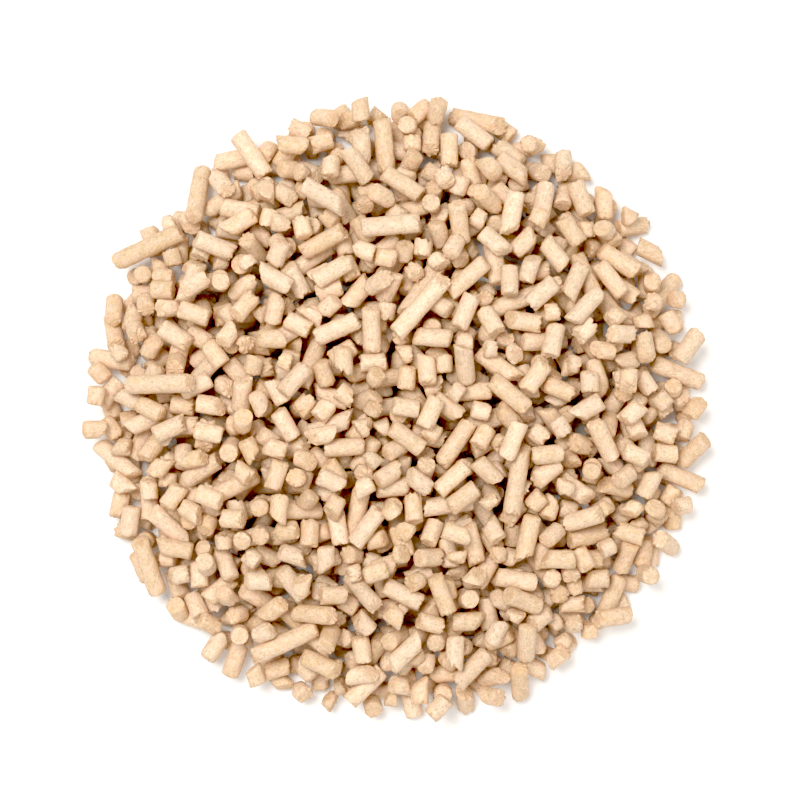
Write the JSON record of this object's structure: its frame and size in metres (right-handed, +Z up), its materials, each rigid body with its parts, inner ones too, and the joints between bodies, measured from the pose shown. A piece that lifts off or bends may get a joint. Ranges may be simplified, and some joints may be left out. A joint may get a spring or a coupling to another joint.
{
  "type": "heap of wood pellet cat litter",
  "caption": "Low round heap of short pressed-softwood pellets with broken ends, flat underneath so that it rests on any level surface.",
  "frame": {"origin": "centre of the heap's flat underside, on the surface that it lies on", "axes": "+Z straight up through the crown of the heap; +X and +Y lie on the surface, and the heap is round about +Z"},
  "size_m": [0.2143, 0.2136, 0.0383],
  "materials": {
    "pellets": "matt pressed softwood, with fine speckles and fibres and rough, darker broken ends"
  },
  "bodies": {
    "root": {"pellet_01": "pellets", "pellet_02": "pellets", "pellet_03": "pellets", "pellet_04": "pellets", "pellet_05": "pellets", "pellet_06": "pellets", "pellet_07": "pellets", "pellet_08": "pellets", "pellet_09": "pellets", "pellet_10": "pellets", "pellet_11": "pellets", "pellet_12": "pellets", "pellet_13": "pellets", "pellet_14": "pellets", "pellet_15": "pellets", "pellet_16": "pellets", "pellet_17": "pellets", "pellet_18": "pellets", "pellet_19": "pellets", "pellet_20": "pellets", "pellet_21": "pellets", "pellet_22": "pellets", "pellet_23": "pellets", "pellet_24": "pellets", "pellet_25": "pellets", "pellet_26": "pellets", "pellet_27": "pellets", "pellet_28": "pellets", "pellet_29": "pellets", "pellet_30": "pellets", "pellet_31": "pellets", "pellet_32": "pellets", "pellet_33": "pellets", "pellet_34": "pellets", "pellet_35": "pellets", "pellet_36": "pellets", "pellet_37": "pellets", "pellet_38": "pellets", "pellet_39": "pellets", "pellet_40": "pellets", "pellet_41": "pellets", "pellet_42": "pellets", "pellet_43": "pellets", "pellet_44": "pellets", "pellet_45": "pellets", "pellet_46": "pellets", "pellet_47": "pellets", "pellet_48": "pellets", "pellet_49": "pellets", "pellet_50": "pellets", "pellet_51": "pellets", "pellet_52": "pellets", "pellet_53": "pellets", "pellet_54": "pellets", "pellet_55": "pellets", "pellet_56": "pellets", "pellet_57": "pellets", "pellet_58": "pellets", "pellet_59": "pellets", "pellet_bed": "pellets"}
  },
  "joints": []
}
